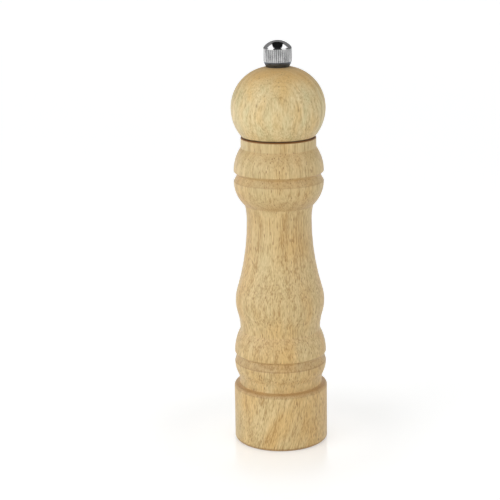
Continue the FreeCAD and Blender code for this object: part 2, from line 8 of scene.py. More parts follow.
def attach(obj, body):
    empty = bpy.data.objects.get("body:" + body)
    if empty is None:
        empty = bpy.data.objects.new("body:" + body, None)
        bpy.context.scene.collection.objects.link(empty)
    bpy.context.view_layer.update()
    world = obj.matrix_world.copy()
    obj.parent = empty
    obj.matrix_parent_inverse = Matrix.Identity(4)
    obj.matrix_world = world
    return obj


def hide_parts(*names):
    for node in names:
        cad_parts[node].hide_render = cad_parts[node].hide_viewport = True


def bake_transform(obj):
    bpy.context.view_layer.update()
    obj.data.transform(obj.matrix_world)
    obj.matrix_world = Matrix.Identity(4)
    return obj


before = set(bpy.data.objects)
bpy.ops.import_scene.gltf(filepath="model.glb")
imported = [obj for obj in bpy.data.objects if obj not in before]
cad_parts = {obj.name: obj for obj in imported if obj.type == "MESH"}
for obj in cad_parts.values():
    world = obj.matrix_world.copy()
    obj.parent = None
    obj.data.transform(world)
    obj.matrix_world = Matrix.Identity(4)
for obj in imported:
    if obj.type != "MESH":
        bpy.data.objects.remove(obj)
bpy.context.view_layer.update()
scene = bpy.context.scene
scene.view_settings.view_transform = "Standard"
weld = 0.000001  # metres within which the points of a seam or a pole become one
print("frame loaded:", len(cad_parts), "nodes")


def toLinear(hexColour):
    channels = [int(hexColour[at:at + 2], 16) / 255 for at in (1, 3, 5)]
    return [c / 12.92 if c <= 0.04045 else ((c + 0.055) / 1.055) ** 2.4 for c in channels] + [1.0]


def perMm(x, y, z):  # texture scale at which one cell of a pattern is this many millimetres
    return (1000 / x, 1000 / y, 1000 / z)


def addNode(tree, kind, inputs=None, **settings):
    made = tree.nodes.new(kind)
    for name, setting in settings.items():
        setattr(made, name, setting)
    for key, source in (inputs or {}).items():
        if isinstance(source, bpy.types.NodeSocket):
            tree.links.new(source, made.inputs[key])
        else:
            made.inputs[key].default_value = source
    return made.outputs


def newMaterial(name):
    material = bpy.data.materials.new(name)
    material.use_nodes = True
    material.node_tree.nodes.clear()
    return material, material.node_tree


# Rubberwood: pale straw-coloured wood with open pores that show as short dark dashes along the grain,
# soft growth layers that open into arches where the turning cuts across them, darker end grain that
# also paints shade on faces that tip up or down, painted shade in grooves, and a satin clear lacquer.
# Sizes are in millimetres, and a pair of them is a width and a length of the grain.
bodyWood = {
    # the groove colour is painted shade, laid into the grooves, the seam under the head and round the foot
    "light": "#D9C08D", "mid": "#C7AD79", "dark": "#AB8B56", "pore": "#865F30", "groove": "#7A4E14",
    "endGrainAndShade": "#B98F58", "upEnd": 0.25,  # how far a face tips up before its end grain, partly painted shade, shows
    "warm": "#FFF3DE", "cool": "#F8FDFF", "patch": (14, 34),
    "drift": (0, 130, 0.10, -0.02),  # two heights, and how far the tint drifts at each
    "bend": (55, 90), "wander": 5.0,
    "sweep": (55, 2.6),  # height below which the grain runs aside, and how strongly
    "pith": (20, 53, 0), "lean": (2.4, -3.0, 0.0), "ringSpacing": 2.4,
    "streak": (1.2, 42.0), "fibre": (0.55, 16.0), "fleck": (0.5, 2.8),
    "weights": (0.16, 0.22, 0.46, 0.50),  # of the rings, streaks, fibres and flecks
    "fleckFade": (95, 135, 0.40),  # two heights, and the share of the flecks that is left at the upper one
    "darkStretch": (119, 28, 0.036),  # middle, half length and depth of a darker stretch
    "pores": (1.1, 4.6), "poreShare": 0.85,
}
headWood = {
    # the groove colour is painted shade, laid into the seam where the head sits on the body
    "light": "#DFCC9C", "mid": "#D0BA88", "dark": "#B69C69", "pore": "#967645", "groove": "#6C4714",
    "endGrainAndShade": "#D6A962", "upEnd": 0.48,
    "warm": "#FFF3DE", "cool": "#F1FCFF", "patch": (8, 20), "drift": (168, 198, -0.05, 0.08),
    "bend": (12, 15), "wander": 5.0, "sweep": (0, 0.0),
    "pith": (-9.5, -2.1, 0), "lean": (-12, 3, 0), "ringSpacing": 2.6,
    "streak": (1.6, 9.0), "fibre": (0.65, 5.0), "fleck": (0.6, 2.2),
    "weights": (0.27, 0.20, 0.33, 0.37), "fleckFade": (160, 210, 1.0), "darkStretch": (170, 8, 0.02),
    "pores": (1.3, 4.6), "poreShare": 0.35,
}
lacquer = {  # what both timbers share
    "rampAt": (0.38, 0.5, 0.67), "tintFull": {"warm": 0.72, "cool": 0.28}, "endFull": 0.95, "endMost": 0.55,
    "poreEdge": (0.30, 0.14), "poreShade": 0.85, "roughness": (0.40, 0.52), "fibreRise": 0.35,
    "bump": 0.3, "bumpDepth": 0.12, "sheen": 0.10, "sheenRoughness": 0.35,
}


def rubberwood(name, wood):
    material, tree = newMaterial(name)
    place = addNode(tree, "ShaderNodeTexCoord")["Object"]
    rise = addNode(tree, "ShaderNodeSeparateXYZ", {0: place})["Z"]

    # the grain wanders sideways by a few millimetres along the blank
    bendScale = perMm(wood["bend"][0], *wood["bend"])
    bendPlace = addNode(tree, "ShaderNodeMapping", {"Vector": place, "Scale": bendScale})[0]
    bend = addNode(tree, "ShaderNodeTexNoise", {"Vector": bendPlace, "Scale": 1, "Detail": 1})[1]
    centred = addNode(tree, "ShaderNodeVectorMath", {0: bend, 1: (0.5, 0.5, 0.5)}, operation="SUBTRACT")[0]
    wander = (wood["wander"] / 1000, wood["wander"] / 1000, 0)
    shift = addNode(tree, "ShaderNodeVectorMath", {0: centred, 1: wander}, operation="MULTIPLY")[0]
    grain = addNode(tree, "ShaderNodeVectorMath", {0: place, 1: shift}, operation="ADD")[0]

    # low down it also sweeps aside, as where a branch left the trunk
    sweepTop, strength = wood["sweep"]
    below = addNode(tree, "ShaderNodeMath", {0: sweepTop / 1000, 1: rise}, operation="SUBTRACT")[0]
    below = addNode(tree, "ShaderNodeMath", {0: below, 1: 0.0}, operation="MAXIMUM")[0]
    square = addNode(tree, "ShaderNodeMath", {0: below, 1: below}, operation="MULTIPLY")[0]
    aside = addNode(tree, "ShaderNodeMath", {0: square, 1: strength}, operation="MULTIPLY")[0]
    sweep = addNode(tree, "ShaderNodeCombineXYZ", {0: aside})[0]
    grain = addNode(tree, "ShaderNodeVectorMath", {0: grain, 1: sweep}, operation="ADD")[0]

    # growth layers round a leaning pith, which lies outside the body's blank and inside the head's
    pith, lean = [mm / 1000 for mm in wood["pith"]], [math.radians(a) for a in wood["lean"]]
    ringPlace = addNode(tree, "ShaderNodeMapping", {"Vector": grain, "Location": pith, "Rotation": lean})[0]
    flat = addNode(tree, "ShaderNodeVectorMath", {0: ringPlace, 1: (1, 1, 0)}, operation="MULTIPLY")[0]
    fromPith = addNode(tree, "ShaderNodeVectorMath", {0: flat}, operation="LENGTH")["Value"]
    ringsPerMetre = 1000 / wood["ringSpacing"]
    ringCount = addNode(tree, "ShaderNodeMath", {0: fromPith, 1: ringsPerMetre}, operation="MULTIPLY")[0]
    rings = addNode(tree, "ShaderNodeTexNoise", {"W": ringCount, "Scale": 1, "Detail": 2},
                    noise_dimensions="1D")[0]

    # long streaks, then fibres and short flecks, drawn coarser than the real 0.2 mm so that they show
    layers = {}
    for layer, detail in (("streak", 3), ("fibre", 2), ("fleck", 1)):
        width, length = wood[layer]
        layerScale = perMm(width, width, length)
        layerPlace = addNode(tree, "ShaderNodeMapping", {"Vector": grain, "Scale": layerScale})[0]
        layers[layer] = addNode(tree, "ShaderNodeTexNoise", {
            "Vector": layerPlace, "Scale": 1, "Detail": detail, "Roughness": 0.6})[0]
    fibres = layers["fibre"]

    # open pores, each a long cell cut by the surface; only some cells hold one
    width, length = wood["pores"]
    poreScale = perMm(width, width, length)
    porePlace = addNode(tree, "ShaderNodeMapping", {"Vector": grain, "Scale": poreScale})[0]
    cells = addNode(tree, "ShaderNodeTexVoronoi", {"Vector": porePlace, "Scale": 1})
    rim, core = lacquer["poreEdge"]
    dash = addNode(tree, "ShaderNodeMapRange", {
        "Value": cells["Distance"], "From Min": rim, "From Max": core}, interpolation_type="SMOOTHSTEP")[0]
    chance = addNode(tree, "ShaderNodeSeparateColor", {"Color": cells["Color"]})[0]
    openness = addNode(tree, "ShaderNodeMapRange", {
        "Value": chance, "From Min": 1 - wood["poreShare"], "From Max": 1})[0]
    pores = addNode(tree, "ShaderNodeMath", {0: dash, 1: openness}, operation="MULTIPLY")[0]

    # tone: darker along one stretch of the blank, then each layer's departure from its mean is added
    middle, reach, depth = wood["darkStretch"]
    away = addNode(tree, "ShaderNodeMath", {0: rise, 1: middle / 1000}, operation="SUBTRACT")[0]
    away = addNode(tree, "ShaderNodeMath", {0: away}, operation="ABSOLUTE")[0]
    tone = addNode(tree, "ShaderNodeMapRange", {
        "Value": away, "From Max": reach / 1000, "To Min": 0.5 - depth, "To Max": 0.5},
        interpolation_type="SMOOTHSTEP")[0]
    *steady, fleckWeight = wood["weights"]
    low, high, left = wood["fleckFade"]  # flecks fade towards the top, where the grain runs straighter
    fade = addNode(tree, "ShaderNodeMapRange", {
        "Value": rise, "From Min": low / 1000, "From Max": high / 1000,
        "To Min": fleckWeight, "To Max": fleckWeight * left})[0]
    for layer, weight in zip((rings, layers["streak"], fibres, layers["fleck"]), (*steady, fade)):
        around = addNode(tree, "ShaderNodeMath", {0: layer, 1: 0.5}, operation="SUBTRACT")[0]
        tone = addNode(tree, "ShaderNodeMath", {0: around, 1: weight, 2: tone}, operation="MULTIPLY_ADD")[0]

    # the tone is read off a ramp of three wood colours
    ramp = addNode(tree, "ShaderNodeValToRGB", {0: tone})[0]
    darkAt, midAt, lightAt = lacquer["rampAt"]
    stops = ramp.node.color_ramp.elements
    stops[0].position, stops[0].color = darkAt, toLinear(wood["dark"])
    stops[1].position, stops[1].color = lightAt, toLinear(wood["light"])
    stops.new(midAt).color = toLinear(wood["mid"])

    # slow drift between a pinker and a greener tone
    width, length = wood["patch"]
    patchScale = perMm(width, width, length)
    patchPlace = addNode(tree, "ShaderNodeMapping", {"Vector": grain, "Scale": patchScale})[0]
    patch = addNode(tree, "ShaderNodeTexNoise", {"Vector": patchPlace, "Scale": 1, "Detail": 2})[0]
    low, high, atLow, atHigh = wood["drift"]
    drift = addNode(tree, "ShaderNodeMapRange", {
        "Value": rise, "From Min": low / 1000, "From Max": high / 1000, "To Min": atLow, "To Max": atHigh})[0]
    patch = addNode(tree, "ShaderNodeMath", {0: patch, 1: drift}, operation="ADD")[0]
    colour = ramp
    for tint, full in lacquer["tintFull"].items():
        share = addNode(tree, "ShaderNodeMapRange", {"Value": patch, "From Min": 0.5, "From Max": full})[0]
        colour = addNode(tree, "ShaderNodeMix", {0: share, 6: colour, 7: toLinear(wood[tint])},
                         data_type="RGBA", blend_type="MULTIPLY")[2]

    # then end grain, partly painted shade on tilted faces; painted shade in grooves, seam and foot; and pores
    endGrainAndShade = addNode(tree, "ShaderNodeAttribute", attribute_name="endGrainAndShade")["Fac"]
    endGrainShadeShare = addNode(tree, "ShaderNodeMapRange", {
        "Value": endGrainAndShade, "From Min": wood["upEnd"], "From Max": lacquer["endFull"],
        "To Max": lacquer["endMost"]})[0]
    grooveShadeShare = addNode(tree, "ShaderNodeAttribute", attribute_name="groove")["Fac"]
    poreShare = addNode(tree, "ShaderNodeMath", {0: pores, 1: lacquer["poreShade"]}, operation="MULTIPLY")[0]
    for share, shade in ((endGrainShadeShare, "endGrainAndShade"), (grooveShadeShare, "groove"), (poreShare, "pore")):
        colour = addNode(tree, "ShaderNodeMix", {0: share, 6: colour, 7: toLinear(wood[shade])},
                         data_type="RGBA")[2]

    # the lacquer is a little duller over the fibres, and sinks into the pores
    glossy, dull = lacquer["roughness"]
    gloss = addNode(tree, "ShaderNodeMapRange", {
        "Value": fibres, "From Min": 0.3, "From Max": 0.7, "To Min": glossy, "To Max": dull})[0]
    relief = addNode(tree, "ShaderNodeMath", {0: fibres, 1: lacquer["fibreRise"]}, operation="MULTIPLY")[0]
    relief = addNode(tree, "ShaderNodeMath", {0: relief, 1: pores}, operation="SUBTRACT")[0]
    normal = addNode(tree, "ShaderNodeBump", {
        "Strength": lacquer["bump"], "Distance": lacquer["bumpDepth"] / 1000, "Height": relief})[0]
    shader = addNode(tree, "ShaderNodeBsdfPrincipled", {
        "Base Color": colour, "Roughness": gloss, "Normal": normal, "IOR": 1.5, "Specular IOR Level": 0.5,
        "Sheen Weight": lacquer["sheen"], "Sheen Roughness": lacquer["sheenRoughness"]})[0]
    addNode(tree, "ShaderNodeOutputMaterial", {"Surface": shader})
    return material


handling = {"smear": (6, 6, 6), "shade": (0.12, 0.40), "bumpDepth": 0.02}  # on every metal, mm


def metal(name, finish):
    material, tree = newMaterial(name)
    place = addNode(tree, "ShaderNodeTexCoord")["Object"]
    lineScale, smearScale = perMm(*finish["lines"]), perMm(*handling["smear"])
    linePlace = addNode(tree, "ShaderNodeMapping", {"Vector": place, "Scale": lineScale})[0]
    lines = addNode(tree, "ShaderNodeTexNoise", {
        "Vector": linePlace, "Scale": 1, "Detail": 3, "Roughness": 0.65})[0]
    smearPlace = addNode(tree, "ShaderNodeMapping", {"Vector": place, "Scale": smearScale})[0]
    smear = addNode(tree, "ShaderNodeTexNoise", {"Vector": smearPlace, "Scale": 1, "Detail": 2})[0]
    shade = addNode(tree, "ShaderNodeMath", {0: lines, 1: smear}, operation="MULTIPLY")[0]
    low, high = handling["shade"]
    share = addNode(tree, "ShaderNodeMapRange", {"Value": shade, "From Min": low, "From Max": high})[0]
    dark, light = toLinear(finish["dark"]), toLinear(finish["light"])
    colour = addNode(tree, "ShaderNodeMix", {0: share, 6: dark, 7: light}, data_type="RGBA")[2]
    glossy, dull = finish["roughness"]
    gloss = addNode(tree, "ShaderNodeMapRange", {
        "Value": lines, "From Min": 0.3, "From Max": 0.7, "To Min": glossy, "To Max": dull})[0]
    normal = addNode(tree, "ShaderNodeBump", {
        "Strength": finish["bump"], "Distance": handling["bumpDepth"] / 1000, "Height": lines})[0]
    shader = addNode(tree, "ShaderNodeBsdfPrincipled", {
        "Base Color": colour, "Roughness": gloss, "Normal": normal, "Metallic": 1.0})[0]
    addNode(tree, "ShaderNodeOutputMaterial", {"Surface": shader})
    return material


bodyTimber = rubberwood("rubberwoodSatin", bodyWood)
headTimber = rubberwood("rubberwoodPale", headWood)
# Nickel-plated steel, polished: clear dark and white reflections, with the faintest haze from handling.
nickel = metal("polishedNickel", {
    "light": "#E0E0E0", "dark": "#D2D2D3", "lines": (3, 3, 3), "roughness": (0.06, 0.12), "bump": 0.03})
# The same plating over a rolled knurl: the ridges scatter, so it looks silvery.
knurled = metal("knurledNickel", {
    "light": "#D8D8D8", "dark": "#A0A0A1", "lines": (0.5, 0.5, 4), "roughness": (0.22, 0.36), "bump": 0.3})
# Its turned lower chamfer: rougher, and darkened as painted shade for the shadow and dark reflection next to
# the wood.
shadedNickelFoot = metal("shadedDullNickel", {
    "light": "#727984", "dark": "#525862", "lines": (3, 3, 0.4), "roughness": (0.25, 0.4), "bump": 0.2})
# Drawn mild steel: fine lines along the bar and a soft grey sheen.
drawnSteel = metal("drawnSteel", {
    "light": "#B9B9BA", "dark": "#8E8E91", "lines": (0.4, 0.4, 14), "roughness": (0.26, 0.40), "bump": 0.4})
# Hardened carbon steel, machined and oiled: dark grey, with cutter marks.
hardSteel = metal("hardenedSteel", {
    "light": "#8A8A8C", "dark": "#616164", "lines": (3.0, 3.0, 0.35), "roughness": (0.30, 0.48), "bump": 0.5})
# Patented spring wire: dark, smooth, slightly streaked by the die.
springSteel = metal("springWire", {
    "light": "#A2A2A6", "dark": "#77777C", "lines": (1.2, 1.2, 1.2), "roughness": (0.22, 0.34), "bump": 0.2})
# Bright zinc plate: pale grey with a mottled bloom.
zinc = metal("zincPlate", {
    "light": "#C4C6C8", "dark": "#9C9EA2", "lines": (0.9, 0.9, 0.9), "roughness": (0.28, 0.42), "bump": 0.3})
print("materials made")

turning = {"arcStep": 4, "fewestSteps": 4, "breakMost": 0.45}  # degrees, steps of an arc, share of an edge


def arcBetween(start, end, bend):  # points after start, up to end, on an arc upright or level at one end
    flat, other = (start, end) if bend == "uprightStart" else (end, start)
    across, up = other[0] - flat[0], other[1] - flat[1]
    chord = across * across + up * up
    if bend == "levelEnd":
        centre = (flat[0], flat[1] + chord / (2 * up))
    else:
        centre = (flat[0] + chord / (2 * across), flat[1])
    first, last = (math.atan2(z - centre[1], r - centre[0]) for r, z in (start, end))
    turn = (last - first + math.pi) % math.tau - math.pi
    radius = math.dist(centre, start)
    steps = max(turning["fewestSteps"], math.ceil(abs(turn) / math.radians(turning["arcStep"])))
    angles = [first + turn * step / steps for step in range(1, steps)]
    return [(centre[0] + radius * math.cos(a), centre[1] + radius * math.sin(a)) for a in angles] + [end]


# Corners are (radius, height, bend to the next, edge break, painted groove shade up to the next), in
# millimetres, and an outline runs up the outside.
def outline(corners, lift=0.0, closed=True):
    points, grooveShades, breaks = [corners[0][:2]], [corners[0][4]], {}
    for corner, after in zip(corners, corners[1:] + corners[:1] * closed):
        breaks[len(points) - 1] = corner[3]
        run = arcBetween(corner[:2], after[:2], corner[2]) if corner[2] else [after[:2]]
        grooveShades[-1] = (grooveShades[-1], corner[4])
        points += run
        grooveShades += [(corner[4], corner[4])] * (len(run) - 1) + [corner[4]]
    grooveShades[-1] = (grooveShades[-1], grooveShades[-1])
    broken = []
    for index, (point, tone) in enumerate(zip(points, grooveShades)):
        size = breaks.get(index, 0)
        if not size or index in (0, len(points) - 1):
            broken.append((point, max(tone)))
            continue
        here = Vector(point)
        before, after = Vector(points[index - 1]) - here, Vector(points[index + 1]) - here
        leave = here + before.normalized() * min(size, before.length * turning["breakMost"])
        reach = here + after.normalized() * min(size, after.length * turning["breakMost"])
        for t in (0, 0.33, 0.67, 1):  # a small curve breaks the edge, as sanding does
            spot = leave * (1 - t) ** 2 + here * 2 * t * (1 - t) + reach * t * t
            broken.append((spot, tone[0] * (1 - t) + tone[1] * t))
    mesh = bpy.data.meshes.new("outline")
    vertices = [(point[0] / 1000, 0, (point[1] + lift) / 1000) for point, tone in broken]
    mesh.from_pydata(vertices, [(i, i + 1) for i in range(len(vertices) - 1)], [])
    grooveShadeLayer = mesh.attributes.new("groove", "FLOAT", "POINT")
    grooveShadeLayer.data.foreach_set("value", [tone for point, tone in broken])
    return mesh


def geometryTree(name, inputs):
    tree = bpy.data.node_groups.new(name, "GeometryNodeTree")
    tree.interface.new_socket("Geometry", in_out="INPUT", socket_type="NodeSocketGeometry")
    tree.interface.new_socket("Geometry", in_out="OUTPUT", socket_type="NodeSocketGeometry")
    for label, kind in inputs.items():
        tree.interface.new_socket(label, in_out="INPUT", socket_type=kind)
    return tree, addNode(tree, "NodeGroupInput")


def aroundAxis(tree, radius, angle, height):
    cosine = addNode(tree, "ShaderNodeMath", {0: angle}, operation="COSINE")[0]
    sine = addNode(tree, "ShaderNodeMath", {0: angle}, operation="SINE")[0]
    x = addNode(tree, "ShaderNodeMath", {0: radius, 1: cosine}, operation="MULTIPLY")[0]
    y = addNode(tree, "ShaderNodeMath", {0: radius, 1: sine}, operation="MULTIPLY")[0]
    return addNode(tree, "ShaderNodeCombineXYZ", {0: x, 1: y, 2: height})[0]


def closeTree(tree, geometry, finish):
    smooth = addNode(tree, "GeometryNodeSetShadeSmooth", {"Geometry": geometry})[0]
    single = addNode(tree, "GeometryNodeRealizeInstances", {"Geometry": smooth})[0]
    finished = addNode(tree, "GeometryNodeSetMaterial", {"Geometry": single, "Material": finish})[0]
    addNode(tree, "NodeGroupOutput", {"Geometry": finished})
    return tree


def runTree(tree, name, mesh, values):
    piece = bpy.data.objects.new(name, mesh)
    scene.collection.objects.link(piece)
    modifier = piece.modifiers.new("shape", "NODES")
    modifier.node_group = tree
    for item in tree.interface.items_tree:
        if item.name in values:
            modifier[item.identifier] = values[item.name]
    depsgraph = bpy.context.evaluated_depsgraph_get()
    shaped = bpy.data.meshes.new_from_object(
        piece.evaluated_get(depsgraph), preserve_all_data_layers=True, depsgraph=depsgraph)
    piece.modifiers.remove(modifier)
    piece.data = shaped
    shaped.name = name
    return piece


def latheTree():  # turns an outline in the XZ plane about Z, carries its painted groove shade, and marks how far each face cuts the grain, also used as painted shade
    tree, given = geometryTree("lathe", {"Segments": "NodeSocketInt", "Finish": "NodeSocketMaterial"})
    profile = given["Geometry"]
    count = addNode(tree, "GeometryNodeAttributeDomainSize", {0: profile})["Point Count"]
    rows = addNode(tree, "ShaderNodeMath", {0: given["Segments"], 1: 1.0}, operation="ADD")[0]
    sheet = addNode(tree, "GeometryNodeMeshGrid", {"Vertices X": rows, "Vertices Y": count})["Mesh"]
    index = addNode(tree, "GeometryNodeInputIndex")[0]
    along = addNode(tree, "FunctionNodeIntegerMath", {0: index, 1: count}, operation="MODULO")[0]
    turn = addNode(tree, "FunctionNodeIntegerMath", {0: index, 1: count}, operation="DIVIDE")[0]
    position = addNode(tree, "GeometryNodeInputPosition")[0]
    point = addNode(tree, "GeometryNodeSampleIndex", {
        "Geometry": profile, "Value": position, "Index": along}, data_type="FLOAT_VECTOR")[0]
    part = addNode(tree, "ShaderNodeSeparateXYZ", {0: point})
    step = addNode(tree, "ShaderNodeMath", {0: math.tau, 1: given["Segments"]}, operation="DIVIDE")[0]
    angle = addNode(tree, "ShaderNodeMath", {0: turn, 1: step}, operation="MULTIPLY")[0]
    spot = aroundAxis(tree, part["X"], angle, part["Z"])
    grooveShadeGiven = addNode(tree, "GeometryNodeInputNamedAttribute", {"Name": "groove"}, data_type="FLOAT")[0]
    tone = addNode(tree, "GeometryNodeSampleIndex", {
        "Geometry": profile, "Value": grooveShadeGiven, "Index": along}, data_type="FLOAT")[0]
    grooveShaded = addNode(tree, "GeometryNodeStoreNamedAttribute", {
        "Geometry": sheet, "Name": "groove", "Value": tone}, data_type="FLOAT", domain="POINT")[0]
    turned = addNode(tree, "GeometryNodeSetPosition", {"Geometry": grooveShaded, "Position": spot})[0]
    joined = addNode(tree, "GeometryNodeMergeByDistance", {"Geometry": turned, "Distance": weld})[0]
    normal = addNode(tree, "GeometryNodeInputNormal")[0]
    facing = addNode(tree, "ShaderNodeSeparateXYZ", {0: normal})["Z"]
    across = addNode(tree, "ShaderNodeMath", {0: facing}, operation="ABSOLUTE")[0]
    marked = addNode(tree, "GeometryNodeStoreNamedAttribute", {
        "Geometry": joined, "Name": "endGrainAndShade", "Value": across}, data_type="FLOAT", domain="FACE")[0]
    return closeTree(tree, marked, given["Finish"])


def knurlTree():  # V grooves round a turned nut: no point stands outside the groove that runs past it
    tree, given = geometryTree("knurl", {
        "Count": "NodeSocketInt", "Depth": "NodeSocketFloat", "Flat": "NodeSocketFloat",
        "Rim": "NodeSocketFloat", "Inside": "NodeSocketFloat", "Band Low": "NodeSocketFloat",
        "Band High": "NodeSocketFloat", "Run Out": "NodeSocketFloat",
        "Band Finish": "NodeSocketMaterial", "Foot Finish": "NodeSocketMaterial"})
    position = addNode(tree, "GeometryNodeInputPosition")[0]
    place = addNode(tree, "ShaderNodeSeparateXYZ", {0: position})
    low, high = given["Band Low"], given["Band High"]
    angle = addNode(tree, "ShaderNodeMath", {0: place["Y"], 1: place["X"]}, operation="ARCTAN2")[0]
    share = addNode(tree, "ShaderNodeMath", {0: angle, 1: math.tau}, operation="DIVIDE")[0]
    groove = addNode(tree, "ShaderNodeMath", {0: share, 1: given["Count"]}, operation="MULTIPLY")[0]
    wave = addNode(tree, "ShaderNodeMath", {0: groove, 1: 0.5}, operation="PINGPONG")[0]  # 0 on a ridge
    cut = addNode(tree, "ShaderNodeMapRange", {"Value": wave, "From Min": given["Flat"], "From Max": 0.5})[0]
    top = addNode(tree, "ShaderNodeMath", {0: high, 1: given["Run Out"]}, operation="ADD")[0]
    depth = addNode(tree, "ShaderNodeMapRange", {
        "Value": place["Z"], "From Min": high, "From Max": top, "To Min": given["Depth"], "To Max": 0.0})[0]
    depth = addNode(tree, "ShaderNodeMath", {0: cut, 1: depth}, operation="MULTIPLY")[0]
    limit = addNode(tree, "ShaderNodeMath", {0: given["Rim"], 1: depth}, operation="SUBTRACT")[0]
    flat = addNode(tree, "ShaderNodeCombineXYZ", {0: place["X"], 1: place["Y"]})[0]
    radius = addNode(tree, "ShaderNodeVectorMath", {0: flat}, operation="LENGTH")["Value"]
    kept = addNode(tree, "ShaderNodeMath", {0: radius, 1: limit}, operation="MINIMUM")[0]
    shrink = addNode(tree, "ShaderNodeMath", {0: kept, 1: radius}, operation="DIVIDE")[0]
    x = addNode(tree, "ShaderNodeMath", {0: place["X"], 1: shrink}, operation="MULTIPLY")[0]
    y = addNode(tree, "ShaderNodeMath", {0: place["Y"], 1: shrink}, operation="MULTIPLY")[0]
    spot = addNode(tree, "ShaderNodeCombineXYZ", {0: x, 1: y, 2: place["Z"]})[0]
    grooved = addNode(tree, "GeometryNodeSetPosition", {"Geometry": given["Geometry"], "Position": spot})[0]
    above = addNode(tree, "FunctionNodeCompare", {0: place["Z"], 1: low}, operation="GREATER_THAN")[0]
    below = addNode(tree, "FunctionNodeCompare", {0: place["Z"], 1: high}, operation="LESS_THAN")[0]
    outer = addNode(tree, "FunctionNodeCompare", {0: radius, 1: given["Inside"]}, operation="GREATER_THAN")[0]
    band = addNode(tree, "FunctionNodeBooleanMath", {0: above, 1: below}, operation="AND")[0]
    band = addNode(tree, "FunctionNodeBooleanMath", {0: band, 1: outer}, operation="AND")[0]
    foot = addNode(tree, "FunctionNodeCompare", {0: place["Z"], 1: low}, operation="LESS_THAN")[0]
    finished = addNode(tree, "GeometryNodeRealizeInstances", {"Geometry": grooved})[0]
    for where, finish in ((band, given["Band Finish"]), (foot, given["Foot Finish"])):
        finished = addNode(tree, "GeometryNodeSetMaterial", {
            "Geometry": finished, "Selection": where, "Material": finish})[0]
    addNode(tree, "NodeGroupOutput", {"Geometry": finished})
    return tree


def threadTree():  # a bar whose radius rises and falls with the height less the share of a turn
    tree, given = geometryTree("thread", {
        "Crest": "NodeSocketFloat", "Depth": "NodeSocketFloat", "Pitch": "NodeSocketFloat",
        "Foot": "NodeSocketFloat", "Length": "NodeSocketFloat", "Tip": "NodeSocketFloat",
        "Segments": "NodeSocketInt", "Rows": "NodeSocketInt", "Finish": "NodeSocketMaterial"})
    rows = addNode(tree, "ShaderNodeMath", {0: given["Rows"], 1: 1.0}, operation="ADD")[0]
    columns = addNode(tree, "ShaderNodeMath", {0: given["Segments"], 1: 1.0}, operation="ADD")[0]
    sheet = addNode(tree, "GeometryNodeMeshGrid", {"Vertices X": columns, "Vertices Y": rows})["Mesh"]
    index = addNode(tree, "GeometryNodeInputIndex")[0]
    row = addNode(tree, "FunctionNodeIntegerMath", {0: index, 1: rows}, operation="MODULO")[0]
    column = addNode(tree, "FunctionNodeIntegerMath", {0: index, 1: rows}, operation="DIVIDE")[0]
    turn = addNode(tree, "ShaderNodeMath", {0: column, 1: given["Segments"]}, operation="DIVIDE")[0]
    climb = addNode(tree, "ShaderNodeMath", {0: row, 1: given["Rows"]}, operation="DIVIDE")[0]
    height = addNode(tree, "ShaderNodeMath", {0: climb, 1: given["Length"]}, operation="MULTIPLY")[0]
    pitches = addNode(tree, "ShaderNodeMath", {0: height, 1: given["Pitch"]}, operation="DIVIDE")[0]
    phase = addNode(tree, "ShaderNodeMath", {0: pitches, 1: turn}, operation="SUBTRACT")[0]
    flank = addNode(tree, "ShaderNodeMath", {0: phase, 1: 0.5}, operation="PINGPONG")[0]
    depth = addNode(tree, "ShaderNodeMath", {0: given["Depth"], 1: 2.0}, operation="MULTIPLY")[0]
    sunk = addNode(tree, "ShaderNodeMath", {0: flank, 1: depth}, operation="MULTIPLY")[0]
    radius = addNode(tree, "ShaderNodeMath", {0: given["Crest"], 1: sunk}, operation="SUBTRACT")[0]
    left = addNode(tree, "ShaderNodeMath", {0: given["Length"], 1: height}, operation="SUBTRACT")[0]
    cone = addNode(tree, "ShaderNodeMath", {0: left, 1: given["Tip"]}, operation="ADD")[0]
    radius = addNode(tree, "ShaderNodeMath", {0: radius, 1: cone}, operation="MINIMUM")[0]
    start = addNode(tree, "FunctionNodeCompare", {"A": row, "B": 0},  # both end rows close to a point
                    data_type="INT", operation="GREATER_THAN")[0]
    end = addNode(tree, "FunctionNodeCompare", {"A": row, "B": given["Rows"]},
                  data_type="INT", operation="LESS_THAN")[0]
    wall = addNode(tree, "FunctionNodeBooleanMath", {0: start, 1: end}, operation="AND")[0]
    radius = addNode(tree, "ShaderNodeMath", {0: radius, 1: wall}, operation="MULTIPLY")[0]
    angle = addNode(tree, "ShaderNodeMath", {0: turn, 1: math.tau}, operation="MULTIPLY")[0]
    z = addNode(tree, "ShaderNodeMath", {0: height, 1: given["Foot"]}, operation="ADD")[0]
    spot = aroundAxis(tree, radius, angle, z)
    wound = addNode(tree, "GeometryNodeSetPosition", {"Geometry": sheet, "Position": spot})[0]
    joined = addNode(tree, "GeometryNodeMergeByDistance", {"Geometry": wound, "Distance": weld})[0]
    return closeTree(tree, joined, given["Finish"])


